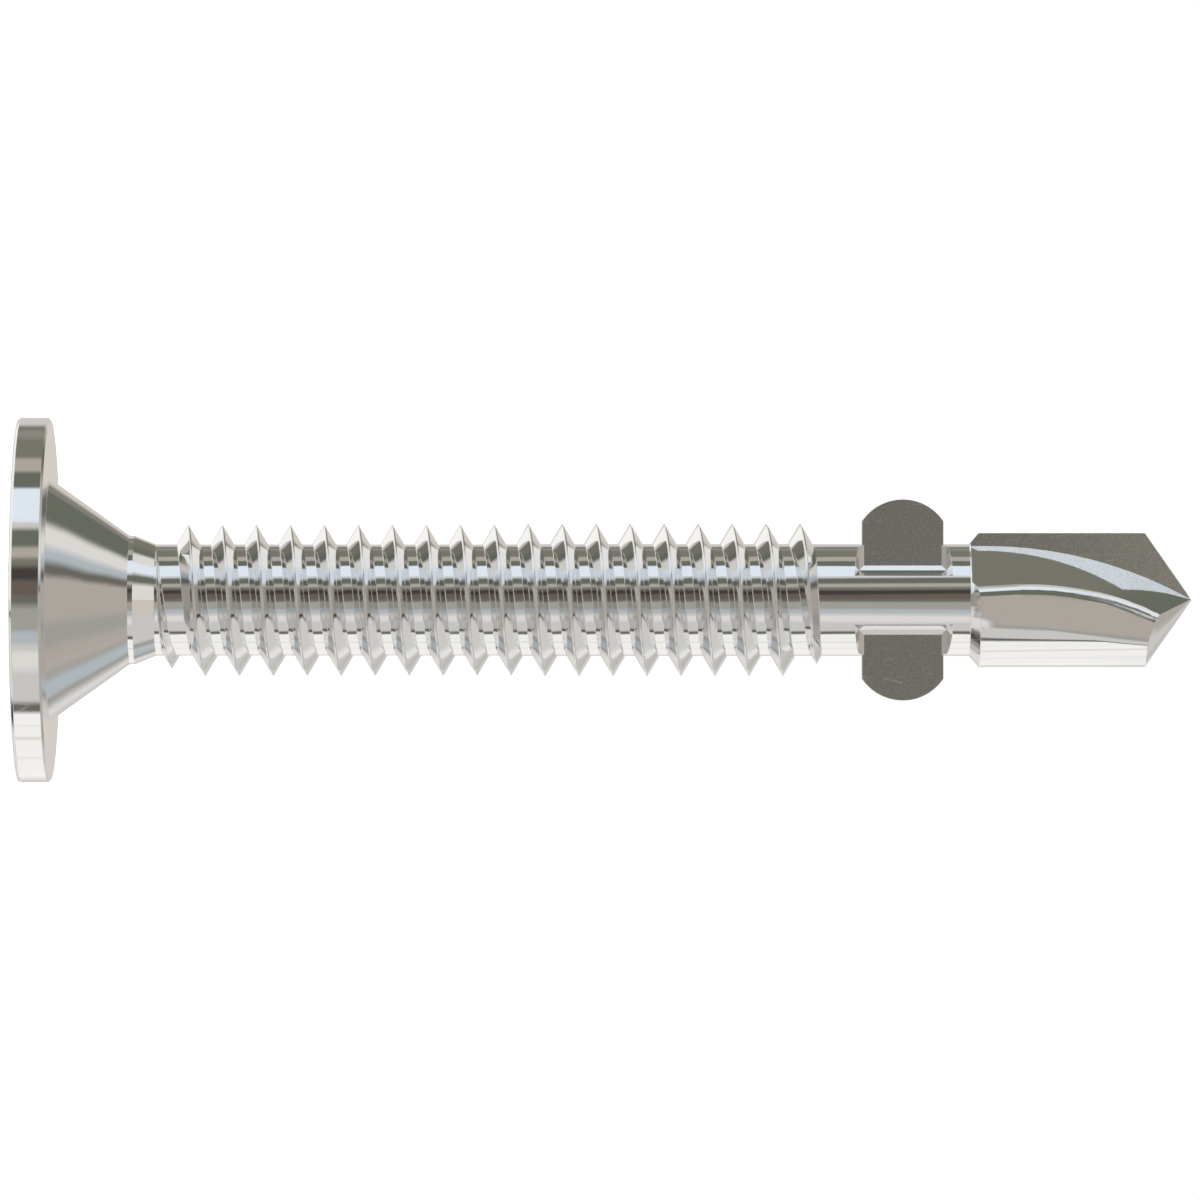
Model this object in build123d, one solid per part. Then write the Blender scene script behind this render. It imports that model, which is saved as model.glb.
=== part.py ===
from build123d import *
from math import ceil, cos, radians, sin, tan
import os

# Self-drilling screw with a wafer head, a rolled thread, two pinched wings and a fluted drill point.
# It stands on its head: the origin is the centre of the head's flat face, and +Z runs along the
# axis to the point. The wings reach along X, and their flats face -Y and +Y. Lengths are in mm.

# Whole screw
overall_length = 36.5
core_diameter = 3.48

# Wafer head and the cone under it
head_diameter = 11.37
head_thickness = 0.965
head_edge_chamfer = 0.07
cone_base_diameter = 7.54
cone_length = 2.465
neck_diameter = 4.02
neck_length = 0.16
neck_taper_length = 0.66

# Cross recess for the driver
recess_diameter = 4.6
recess_depth = 2.35
recess_wing_width = 1.05
recess_core_diameter = 2.5
recess_side_taper = 2.5
recess_wing_taper = 24.0
recess_floor_angle = 124.0

# Rolled thread, right-handed
thread_major_diameter = 4.74
thread_pitch = 1.0583
thread_base_width = 0.74
thread_start_angle = 200.0
thread_runout_turns = 0.72
thread_sections_per_turn = 12
thread_end_to_shoulder = 4.42

# Wings that clear a large hole in wood and snap off on steel
wing_span = 6.26
wing_width = 2.53
wing_side_height = 2.455
wing_thickness = 0.75
wing_to_shoulder = 2.07

# Pockets that the pinching dies leave beside each wing
pocket_width = 2.42
pocket_inner_edge = 1.075
pocket_draft = 8.5
pocket_chamfer_width = 0.14
pocket_chamfer_height = 0.09

# Drill point
drill_diameter = 4.17
drill_length = 6.94
shoulder_angle = 49.0
point_angle = 110.0

# Flutes of the drill point, and the relieved heel beside each
web_thickness = 0.10
flute_shoulder_gap = 0.04
flute_straight_length = 0.52
rake_edge_height = 1.68
flute_wall_lean = 31.6
flute_wall_forward = 26.0
heel_edge_radius = 0.45
heel_relief_depth = 0.045
heel_relief_facing = -1.0
heel_relief_forward = 4.75
land_start_angle = 43.0
land_edge_radius = 0.60

# Working allowances, so that cuts run clear of the metal and fused solids share some depth
overrun = 1.0
sink = 0.04

# Places along the axis, worked out from the sizes above
core_radius = core_diameter / 2
drill_radius = drill_diameter / 2
cone_end_z = head_thickness + cone_length
neck_end_z = cone_end_z + neck_length
shank_start_z = neck_end_z + neck_taper_length
shoulder_z = overall_length - drill_length
drill_body_z = shoulder_z + (drill_radius - core_radius) / tan(radians(shoulder_angle))
point_start_z = overall_length - drill_radius / tan(radians(point_angle / 2))
wing_z = shoulder_z - wing_to_shoulder
thread_end_z = shoulder_z - thread_end_to_shoulder


def turned_blank():
    """The screw as a round bar: head, cone, neck, core, drill body and point."""
    outline = Polyline(
        (0, 0),
        (head_diameter / 2, 0),
        (head_diameter / 2, head_thickness),
        (cone_base_diameter / 2, head_thickness),
        (neck_diameter / 2, cone_end_z),
        (neck_diameter / 2, neck_end_z),
        (core_radius, shank_start_z),
        (core_radius, shoulder_z),
        (drill_radius, drill_body_z),
        (drill_radius, point_start_z),
        (0, overall_length),
        close=True,
    )
    half_section = make_face(Plane.XZ * outline)
    rim = half_section.vertices().sort_by(Axis.X)[-2:]
    half_section = chamfer(rim, head_edge_chamfer)
    return revolve(half_section, Axis.Z)


def thread_section(turn, crest_radius):
    """Section of the thread ridge, in the half plane through the axis at this turn."""
    slope = thread_base_width / (thread_major_diameter - core_diameter)
    foot_radius = core_radius - sink
    half_foot = (crest_radius - foot_radius) * slope
    middle_z = shank_start_z + turn * thread_pitch
    section = Polyline(
        (foot_radius, middle_z - half_foot),
        (crest_radius, middle_z),
        (foot_radius, middle_z + half_foot),
        close=True,
    )
    angle = thread_start_angle + 360 * turn
    return Rot(0, 0, angle) * make_face(Plane.XZ * section)


def ridge_stretch(first_turn, last_turn, first_crest, last_crest):
    """A stretch of thread ridge, whose crest radius changes evenly from one end to the other."""
    spans = ceil((last_turn - first_turn) * thread_sections_per_turn)
    sections = []
    for step in range(spans + 1):
        share = step / spans
        turn = first_turn + share * (last_turn - first_turn)
        crest = first_crest + share * (last_crest - first_crest)
        sections.append(thread_section(turn, crest))
    return loft(sections)


def thread_ridge():
    """The whole ridge: equal stretches of full height, end to end, and a faded one at each end."""
    low = core_radius - sink / 2
    high = thread_major_diameter / 2
    turns = (thread_end_z - shank_start_z) / thread_pitch
    first_full = thread_runout_turns
    last_full = turns - thread_runout_turns
    ridge = ridge_stretch(0, first_full, low, high) + ridge_stretch(last_full, turns, high, low)
    stretches = ceil(last_full - first_full)
    stretch_turns = (last_full - first_full) / stretches
    stretch = ridge_stretch(first_full, first_full + stretch_turns, high, high)
    for step in range(stretches):
        along = step * stretch_turns
        ridge += Pos(0, 0, along * thread_pitch) * Rot(0, 0, 360 * along) * stretch
    return ridge


def side_plane(distance):
    """Plane parallel to the wing flats, facing -Y: its x runs along the axis and its y along -X."""
    return Plane(origin=(0, -distance, 0), x_dir=(0, 0, 1), z_dir=(0, -1, 0))


def wing_plate():
    """Both wings as one plate through the shank, with a round end on each."""
    low = wing_z - wing_width / 2
    high = wing_z + wing_width / 2
    outline = Polyline((low, -wing_side_height), (low, wing_side_height))
    outline += ThreePointArc((low, wing_side_height), (wing_z, wing_span / 2), (high, wing_side_height))
    outline += Line((high, wing_side_height), (high, -wing_side_height))
    outline += ThreePointArc((high, -wing_side_height), (wing_z, -wing_span / 2), (low, -wing_side_height))
    return extrude(make_face(side_plane(0) * outline), wing_thickness / 2, both=True)


def pinch_pocket():
    """Void beside one face of one wing, with drafted walls and a chamfered foot."""
    reach = core_radius + overrun - pocket_inner_edge
    height = core_radius + overrun - wing_thickness / 2
    floor = side_plane(wing_thickness / 2) * Pos(wing_z, pocket_inner_edge + reach / 2) * Rectangle(
        pocket_width + 2 * pocket_chamfer_width, reach + 2 * pocket_chamfer_width
    )
    void = extrude(floor, height, taper=-pocket_draft)
    foot = void.faces().sort_by(Axis.Y)[-1]
    return chamfer(foot.edges(), pocket_chamfer_width, pocket_chamfer_height, reference=foot)


def pinched_wings(blank):
    """Cut the four pockets and leave the wings standing between them."""
    pocket = pinch_pocket()
    for mirror_plane in (Plane.YZ, Plane.XZ):
        pocket += mirror(pocket, mirror_plane)
    return blank - pocket + wing_plate()


def beyond_drill(facing, forward, depth):
    """All space past a plane beside the drill body, this deep under its surface at the shoulder end.

    It faces this many degrees from -Y towards +X, and closes in on the axis by the forward angle.
    """
    across = Vector(sin(radians(facing)), -cos(radians(facing)), 0)
    start = across * (drill_radius - depth) + Vector(0, 0, drill_body_z)
    plane = Plane(origin=start, z_dir=across + Vector(0, 0, tan(radians(forward))))
    size = overall_length
    return plane * Box(size, size, size, align=(Align.CENTER, Align.CENTER, Align.MIN))


def heel_edge(block, side):
    """A long edge of the relieved heel: side 0 is at the flute's wall and side -1 at the land."""
    heel = block.faces().filter_by(GeomType.PLANE).sort_by(Axis.Y)[0]
    along = [edge for edge in heel.edges() if abs((edge % 0.5).Z) > abs((edge % 0.5).X)]
    return ShapeList(along).sort_by(Axis.X)[side]


def point_cone():
    """The point's cone, carried on downwards until it is wider than a flute is long."""
    height = 2 * drill_length
    base_radius = height * tan(radians(point_angle / 2))
    cone = Cone(base_radius, 0, height, align=(Align.CENTER, Align.CENTER, Align.MAX))
    return Pos(0, 0, overall_length) * cone


def heel_block():
    """The metal that stays beside a flute: swept, leaning wall, relieved heel and rounded edges."""
    bend_start = (shoulder_z + flute_straight_length, rake_edge_height)
    reach = drill_diameter + overrun
    straight = Line((shoulder_z - reach, rake_edge_height), bend_start)
    bend = TangentArc(bend_start, (overall_length, 0), tangent=(1, 0))
    past_tip = Line(bend @ 1, bend @ 1 + bend % 1 * reach)
    back = Polyline(past_tip @ 1, ((past_tip @ 1).X, -reach), (shoulder_z - reach, -reach), straight @ 0)
    foot = make_face(side_plane(web_thickness / 2) * (straight + bend + past_tip + back))
    forward = tan(radians(flute_wall_forward))
    block = extrude(foot, reach, dir=(0, -1, forward), taper=flute_wall_lean) & point_cone()
    block -= beyond_drill(heel_relief_facing, heel_relief_forward, heel_relief_depth)
    block -= beyond_drill(land_start_angle, 0, 0)
    block = fillet(heel_edge(block, 0), heel_edge_radius)
    return fillet(heel_edge(block, -1), land_edge_radius)


def drill_flute():
    """Void of one flute: a flat rake face beside the axis and the space outside the heel."""
    reach = drill_diameter + overrun
    room = side_plane(web_thickness / 2) * Pos(shoulder_z + flute_shoulder_gap, 0) * Box(
        drill_length + overrun, reach, reach / 2, align=(Align.MIN, Align.CENTER, Align.MIN)
    )
    return room - heel_block()


def fluted_point(blank):
    """Cut the two flutes, half a turn apart."""
    flute = drill_flute()
    return blank - flute - Rot(0, 0, 180) * flute


def drive_recess():
    """Void of the cross recess, open at the head's flat face."""
    floor_drop = recess_core_diameter / 2 / tan(radians(recess_floor_angle / 2))
    wall_depth = recess_depth - floor_drop
    wing_bottom = recess_diameter / 2 - wall_depth * tan(radians(recess_wing_taper))
    envelope = Polyline(
        (0, -overrun),
        (recess_diameter / 2, -overrun),
        (recess_diameter / 2, 0),
        (wing_bottom, wall_depth),
        (0, recess_depth),
        close=True,
    )
    cone = revolve(make_face(Plane.XZ * envelope), Axis.Z)
    slot = Rectangle(recess_diameter + 2 * overrun, recess_wing_width)
    slot = extrude(slot, recess_depth, taper=recess_side_taper)
    cross = slot + Rot(0, 0, 90) * slot
    return cone & cross


screw = turned_blank() + thread_ridge()
screw = pinched_wings(screw)
screw = fluted_point(screw)
screw -= drive_recess()

os.makedirs("parts", exist_ok=True)
export_step(screw, "parts/screw.step")
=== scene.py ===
import math

import bpy
from mathutils import Matrix, Vector


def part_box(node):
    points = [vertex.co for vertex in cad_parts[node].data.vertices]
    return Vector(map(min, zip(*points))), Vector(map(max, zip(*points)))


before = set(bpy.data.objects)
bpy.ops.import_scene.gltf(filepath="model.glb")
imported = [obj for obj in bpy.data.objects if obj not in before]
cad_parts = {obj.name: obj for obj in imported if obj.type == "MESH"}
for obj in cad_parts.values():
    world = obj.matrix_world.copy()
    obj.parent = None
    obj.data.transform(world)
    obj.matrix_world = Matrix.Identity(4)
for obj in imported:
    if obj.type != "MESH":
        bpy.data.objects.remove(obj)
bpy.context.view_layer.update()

MM = 0.001
FOOT_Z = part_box("screw")[0].z

# Camera: square to the screw's axis, rolled a quarter turn so that the point is on the right
CAMERA_DISTANCE = 299 * MM
CAMERA_HEIGHT = FOOT_Z + 18.07 * MM
VIEW_WIDTH = 37.38 * MM
SENSOR_WIDTH = 36.0
CLIP_START = 10 * MM
CLIP_END = 10.0

# Floor of pale paper, just clear of the head's flat face so that the two don't flicker
FLOOR_SIZE = 4.0
FLOOR_GAP = 0.01 * MM
FLOOR_GREY = 0.86
FLOOR_PALER_GREY = 0.87
FLOOR_MOTTLES_PER_MM = 0.2

# Studio light for the three kinds of ray
BACKDROP_STRENGTH = 1.0
FILL_STRENGTH = 2.1
STUDIO_STRENGTH = 1.0
PLAIN_WHITE = (1.0, 1.0, 1.0, 1.0)

# Panels of the studio, as the colour that each shows in the metal
BLACK = (0.26, 0.24, 0.23)
BROWN = (0.39, 0.35, 0.32)
TAUPE = (0.40, 0.395, 0.37)
GREEN = (0.39, 0.405, 0.365)
OLIVE = (0.455, 0.45, 0.412)
DUSK = (0.53, 0.52, 0.49)
STONE = (0.61, 0.60, 0.58)
BEIGE = (0.66, 0.635, 0.61)
PEARL = (0.76, 0.755, 0.745)
CREAM = (0.77, 0.745, 0.715)
ROSE = (0.84, 0.83, 0.815)
SKY = (0.67, 0.70, 0.72)
BLUE = (0.855, 0.885, 0.925)
MILK = (0.89, 0.885, 0.875)
WHITE = (0.925, 0.92, 0.91)

# The room that the metal mirrors: rings round the screw's axis, each at one height of a direction,
# with panels from and to these degrees from the camera's side, in its upper half and its lower half
FALLING = -0.45, (
    (0, 30, STONE), (42, 75, BLUE), (90, 180, WHITE),
), (
    (0, 30, STONE), (34, 41, BEIGE), (43, 48, BLACK), (54, 128, ROSE), (131, 136, BLACK), (140, 180, ROSE),
)
LEVEL = 0.0, (
    (0, 2, TAUPE), (4, 11, BROWN), (14, 19, BLACK), (23, 25, OLIVE), (28, 32, BEIGE), (35, 44, GREEN),
    (47, 49, PEARL), (51, 74, BLUE), (76, 87, GREEN), (90, 99, BEIGE), (103, 120, OLIVE), (128, 132, DUSK),
    (139, 141, OLIVE), (148, 160, PEARL), (170, 180, CREAM),
), (
    (0, 1, TAUPE), (6, 18, STONE), (21, 26, SKY), (29, 31, PEARL), (34, 42, ROSE),
    (48, 66, PEARL), (70, 74, TAUPE), (77, 85, WHITE), (86, 87, MILK), (88, 96, WHITE), (97, 99, ROSE),
    (100, 117, WHITE), (118, 120, MILK), (122, 148, WHITE), (165, 180, CREAM),
)
SLANTING = 0.15, (
    (0, 8, BEIGE), (11, 42, GREEN), (46, 68, BLUE), (73, 88, PEARL), (96, 132, OLIVE),
    (142, 150, OLIVE), (158, 180, CREAM),
), (
    (0, 20, BEIGE), (28, 42, STONE), (48, 66, PEARL), (70, 74, TAUPE), (78, 110, WHITE),
    (117, 126, SKY), (131, 133, STONE), (142, 150, ROSE), (160, 180, PEARL),
)
RISING = 0.55, (
    (0, 30, ROSE), (40, 50, GREEN), (60, 76, BLUE), (82, 98, ROSE), (106, 140, GREEN), (150, 156, STONE),
    (166, 180, CREAM),
), (
    (0, 25, CREAM), (45, 68, PEARL), (80, 92, PEARL), (99, 103, STONE), (113, 125, SKY), (131, 133, STONE),
    (144, 160, PEARL), (170, 180, BEIGE),
)
STEEP = 0.9, (
    (0, 34, BEIGE), (46, 54, TAUPE), (66, 72, SKY), (84, 98, ROSE), (112, 180, BEIGE),
), (
    (0, 30, BEIGE), (48, 66, STONE), (82, 180, BEIGE),
)
RINGS = (FALLING, LEVEL, SLANTING, RISING, STEEP)

# Share of the way to the next ring over which a ring stays the same
RING_KEEP = 0.3

# Bright zinc plating
ZINC_COLOUR = (0.85, 0.85, 0.845, 1.0)
ZINC_MIRROR = 0.82
ZINC_ROUGHNESS = 0.04
ZINC_SCRATCH_ROUGHNESS = 0.15
GRAINS_PER_MM = 24
GRAIN_STRENGTH = 0.02
GRAIN_DEPTH = 0.02 * MM

# Pressed flats: those that look straight along Y and lie this near the axis
PRESSED_FACING = 0.99
PRESSED_REACH = 0.38 * MM
PRESSED_ROUGHNESS = 0.10
PRESSED_SCRATCH_ROUGHNESS = 0.24
PRESSED_DARK_COLOUR = (0.73, 0.73, 0.71, 1.0)
PRESSED_PALE_COLOUR = (0.90, 0.89, 0.86, 1.0)
SPECKLES_PER_MM = 13
SPECKLE_DARK_LEVEL = 0.36
SPECKLE_PALE_LEVEL = 0.68

# Scratches: thin level lines of a stretched noise, kept to patches
FIRST_SCRATCH_TURN = (0.0, 0.6, 0.3)
SECOND_SCRATCH_TURN = (0.2, -0.9, 0.0)
SCRATCH_STRETCH = (1.0, 1.0, 0.12)
SCRATCHES_PER_MM = 1.1
SCRATCH_MIDDLE = 0.5
SCRATCH_WIDTH = 0.006
PATCHES_PER_MM = 1.7
PATCH_START = 0.5
PATCH_FULL = 0.6

# Soft edges, widest on the thread's crest and finest on the drill point
CREST_EDGE_RADIUS = 0.13 * MM
THREAD_EDGE_RADIUS = 0.045 * MM
POINT_EDGE_RADIUS = 0.018 * MM
EDGE_SAMPLES = 8
CREST_START = 2.0 * MM
CREST_FULL = 2.1 * MM
THREAD_START = FOOT_Z + 4.3 * MM
THREAD_TOP = FOOT_Z + 25.5 * MM
EDGE_CHANGE = 0.2 * MM

# Shading of the CAD mesh, whose faces come apart
WELD_DISTANCE = 0.0002 * MM
HARD_EDGE_ANGLE = math.radians(20)


class Nodes:
    """Small helper that adds linked nodes to a node tree."""

    def __init__(self, tree):
        self.tree = tree
        tree.nodes.clear()

    def add(self, kind, *inputs, **settings):
        node = self.tree.nodes.new(kind)
        for name, value in settings.items():
            setattr(node, name, value)
        for index, value in enumerate(inputs):
            self.feed(node.inputs[index], value)
        return node

    def feed(self, socket, value):
        if isinstance(value, bpy.types.NodeSocket):
            self.tree.links.new(value, socket)
        else:
            socket.default_value = value

    def math(self, operation, *inputs):
        return self.add("ShaderNodeMath", *inputs, operation=operation).outputs[0]

    def axes(self, vector):
        return self.add("ShaderNodeSeparateXYZ", vector).outputs

    def spread(self, value, start, end, low=0.0, high=1.0, **settings):
        """Carry a value that runs from start to end over to one that runs from low to high."""
        return self.add("ShaderNodeMapRange", value, start, end, low, high, **settings).outputs[0]

    def noise(self, place, scale, detail):
        node = self.add("ShaderNodeTexNoise", place)
        node.inputs["Scale"].default_value = scale
        node.inputs["Detail"].default_value = detail
        return node.outputs[0]

    def ramp(self, factor, stops):
        node = self.add("ShaderNodeValToRGB", factor)
        elements = node.color_ramp.elements
        elements[0].position, elements[0].color = stops[0]
        elements[1].position, elements[1].color = stops[-1]
        for position, colour in stops[1:-1]:
            elements.new(position).color = colour
        return node.outputs[0]

    def mix(self, factor, first, second):
        node = self.add("ShaderNodeMix", data_type="RGBA")
        self.feed(node.inputs["Factor"], factor)
        self.feed(node.inputs[6], first)
        self.feed(node.inputs[7], second)
        return node.outputs[2]


def panel_light(seen):
    """Light that a panel has to give to show this colour in the metal, by the sRGB curve."""
    return tuple(((value + 0.055) / 1.055) ** 2.4 / ZINC_MIRROR for value in seen) + (1.0,)


def half_ring(nodes, turn, panels):
    """Panels round one half of a ring, with a soft change between neighbours."""
    stops = []
    for first, last, seen in panels:
        stops += [(first / 180, panel_light(seen)), (last / 180, panel_light(seen))]
    return nodes.ramp(turn, stops)


def mirrored_room(nodes):
    """Colour of the room in each direction: the rings, with a soft change from one to the next."""
    direction = nodes.add("ShaderNodeTexCoord").outputs["Generated"]
    x, y, z = nodes.axes(direction)
    up = nodes.math("MULTIPLY", x, -1.0)
    near = nodes.math("MULTIPLY", y, -1.0)
    angle = nodes.math("ARCTAN2", up, near)
    turn = nodes.math("DIVIDE", nodes.math("ABSOLUTE", angle), math.pi)
    upper_side = nodes.math("GREATER_THAN", up, 0.0)
    room, below = None, None
    for height, upper, lower in RINGS:
        ring = nodes.mix(upper_side, half_ring(nodes, turn, lower), half_ring(nodes, turn, upper))
        if room:
            keep = RING_KEEP * (height - below)
            rise = nodes.spread(z, below + keep, height - keep, interpolation_type="SMOOTHSTEP")
            ring = nodes.mix(rise, room, ring)
        room, below = ring, height
    return room


def make_world():
    """Studio: a white backdrop, an even fill, and a room of panels that only the metal mirrors."""
    world = bpy.data.worlds.new("studio")
    bpy.context.scene.world = world
    world.use_nodes = True
    nodes = Nodes(world.node_tree)
    room = mirrored_room(nodes)
    ray = nodes.add("ShaderNodeLightPath")
    studio = nodes.add("ShaderNodeBackground", room, STUDIO_STRENGTH).outputs[0]
    fill = nodes.add("ShaderNodeBackground", PLAIN_WHITE, FILL_STRENGTH).outputs[0]
    backdrop = nodes.add("ShaderNodeBackground", PLAIN_WHITE, BACKDROP_STRENGTH).outputs[0]
    lit = nodes.add("ShaderNodeMixShader", ray.outputs["Is Diffuse Ray"], studio, fill).outputs[0]
    shown = nodes.add("ShaderNodeMixShader", ray.outputs["Is Camera Ray"], lit, backdrop).outputs[0]
    nodes.add("ShaderNodeOutputWorld", shown)


def scratch_lines(nodes, place, turned):
    """Mask of a few thin curved scratches, which run across this turned direction."""
    across = nodes.add("ShaderNodeMapping", place)
    across.inputs["Rotation"].default_value = turned
    across.inputs["Scale"].default_value = SCRATCH_STRETCH
    swirl = nodes.noise(across.outputs[0], SCRATCHES_PER_MM / MM, 1.0)
    off_middle = nodes.math("ABSOLUTE", nodes.math("SUBTRACT", swirl, SCRATCH_MIDDLE))
    line = nodes.spread(off_middle, 0.0, SCRATCH_WIDTH, 1.0, 0.0)
    patch = nodes.spread(nodes.noise(place, PATCHES_PER_MM / MM, 1.0), PATCH_START, PATCH_FULL)
    return nodes.math("MULTIPLY", line, patch)


def pressed_flats(nodes, place):
    """Mask of the flats that the pinching dies press: the wings' sides and the flutes' rake faces."""
    normal = nodes.add("ShaderNodeNewGeometry").outputs["True Normal"]
    facing = nodes.math("ABSOLUTE", nodes.axes(normal)[1])
    reach = nodes.math("ABSOLUTE", nodes.axes(place)[1])
    square = nodes.math("GREATER_THAN", facing, PRESSED_FACING)
    inner = nodes.math("LESS_THAN", reach, PRESSED_REACH)
    return nodes.math("MULTIPLY", square, inner)


def edge_radius(nodes, place):
    """Radius of the soft edges along the screw, and out from its axis on the thread."""
    flat_place = nodes.add("ShaderNodeVectorMath", place, (1.0, 1.0, 0.0), operation="MULTIPLY").outputs[0]
    reach = nodes.add("ShaderNodeVectorMath", flat_place, operation="LENGTH").outputs["Value"]
    thread = nodes.spread(reach, CREST_START, CREST_FULL, THREAD_EDGE_RADIUS, CREST_EDGE_RADIUS)
    height = nodes.axes(place)[2]
    past_thread = nodes.spread(height, THREAD_TOP, THREAD_TOP + EDGE_CHANGE)
    near_head = nodes.spread(height, THREAD_START, THREAD_START - EDGE_CHANGE)
    plain = nodes.math("MAXIMUM", past_thread, near_head)
    return nodes.spread(plain, 0.0, 1.0, thread, POINT_EDGE_RADIUS)


def plating_colour(nodes, place, pressed):
    """One even colour, and two speckled tones on the pressed flats."""
    speckle = nodes.noise(place, SPECKLES_PER_MM / MM, 6.0)
    dark = (SPECKLE_DARK_LEVEL, PRESSED_DARK_COLOUR)
    pale = (SPECKLE_PALE_LEVEL, PRESSED_PALE_COLOUR)
    return nodes.mix(pressed, ZINC_COLOUR, nodes.ramp(speckle, [dark, pale]))


def plating_roughness(nodes, place, pressed):
    """Nearly none on the bright metal, more on the pressed flats and in the scratches."""
    first = scratch_lines(nodes, place, FIRST_SCRATCH_TURN)
    second = scratch_lines(nodes, place, SECOND_SCRATCH_TURN)
    marks = nodes.math("MAXIMUM", first, second)
    bright = nodes.spread(marks, 0.0, 1.0, ZINC_ROUGHNESS, ZINC_SCRATCH_ROUGHNESS)
    dull = nodes.spread(marks, 0.0, 1.0, PRESSED_ROUGHNESS, PRESSED_SCRATCH_ROUGHNESS)
    return nodes.spread(pressed, 0.0, 1.0, bright, dull)


def plating_normal(nodes, place):
    """Soft edges, and a trace of fine grain."""
    edge = nodes.add("ShaderNodeBevel", edge_radius(nodes, place), samples=EDGE_SAMPLES).outputs[0]
    bump = nodes.add("ShaderNodeBump")
    bump.inputs["Strength"].default_value = GRAIN_STRENGTH
    bump.inputs["Distance"].default_value = GRAIN_DEPTH
    nodes.feed(bump.inputs["Height"], nodes.noise(place, GRAINS_PER_MM / MM, 2.0))
    nodes.feed(bump.inputs["Normal"], edge)
    return bump.outputs[0]


def zinc_plating():
    """Bright zinc on steel: a near mirror with faint scratches, duller on the pressed flats."""
    material = bpy.data.materials.new("bright_zinc")
    material.use_nodes = True
    nodes = Nodes(material.node_tree)
    place = nodes.add("ShaderNodeTexCoord").outputs["Object"]
    pressed = pressed_flats(nodes, place)
    shader = nodes.add("ShaderNodeBsdfPrincipled")
    shader.inputs["Metallic"].default_value = 1.0
    nodes.feed(shader.inputs["Base Color"], plating_colour(nodes, place, pressed))
    nodes.feed(shader.inputs["Roughness"], plating_roughness(nodes, place, pressed))
    nodes.feed(shader.inputs["Normal"], plating_normal(nodes, place))
    nodes.add("ShaderNodeOutputMaterial", shader.outputs[0])
    return material


def floor_paper():
    """Plain pale paper, with a trace of mottling."""
    material = bpy.data.materials.new("pale_floor")
    material.use_nodes = True
    nodes = Nodes(material.node_tree)
    place = nodes.add("ShaderNodeTexCoord").outputs["Object"]
    mottle = nodes.noise(place, FLOOR_MOTTLES_PER_MM / MM, 2.0)
    pale = (FLOOR_GREY, FLOOR_GREY, FLOOR_GREY, 1.0)
    paler = (FLOOR_PALER_GREY, FLOOR_PALER_GREY, FLOOR_PALER_GREY, 1.0)
    colour = nodes.ramp(mottle, [(0.3, pale), (0.7, paler)])
    shader = nodes.add("ShaderNodeBsdfDiffuse", colour)
    nodes.add("ShaderNodeOutputMaterial", shader.outputs[0])
    return material


def make_floor():
    """Floor under the head, which the metal doesn't mirror."""
    bpy.ops.mesh.primitive_plane_add(size=FLOOR_SIZE, location=(0, 0, FOOT_Z - FLOOR_GAP))
    floor = bpy.context.object
    floor.name = "floor"
    floor.data.materials.append(floor_paper())
    floor.visible_glossy = False


def make_camera():
    """Camera in front of the screw, with the screw's axis across its picture."""
    camera = bpy.data.objects.new("camera", bpy.data.cameras.new("camera"))
    bpy.context.scene.collection.objects.link(camera)
    camera.data.sensor_width = SENSOR_WIDTH
    camera.data.lens = SENSOR_WIDTH * CAMERA_DISTANCE / VIEW_WIDTH
    camera.data.clip_start = CLIP_START
    camera.data.clip_end = CLIP_END
    right, up, back = Vector((0, 0, 1)), Vector((-1, 0, 0)), Vector((0, -1, 0))
    pose = Matrix((right, up, back)).transposed().to_4x4()
    pose.translation = (0, -CAMERA_DISTANCE, CAMERA_HEIGHT)
    camera.matrix_world = pose
    bpy.context.scene.camera = camera


def smooth_shading(piece):
    """Join the faces of the CAD mesh for shading, with hard edges where the metal turns sharply."""
    weld = piece.modifiers.new("joined_faces", "WELD")
    weld.merge_threshold = WELD_DISTANCE
    split = piece.modifiers.new("hard_edges", "EDGE_SPLIT")
    split.split_angle = HARD_EDGE_ANGLE
    split.use_edge_sharp = False
    normals = piece.modifiers.new("even_normals", "WEIGHTED_NORMAL")
    normals.mode = "FACE_AREA"


def dress_screw():
    """Give the CAD solid its plating and its smooth shading."""
    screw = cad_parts["screw"]
    screw.material_slots[0].material = zinc_plating()
    smooth_shading(screw)


make_camera()
make_world()
make_floor()
dress_screw()
bpy.context.scene.view_settings.view_transform = "Standard"
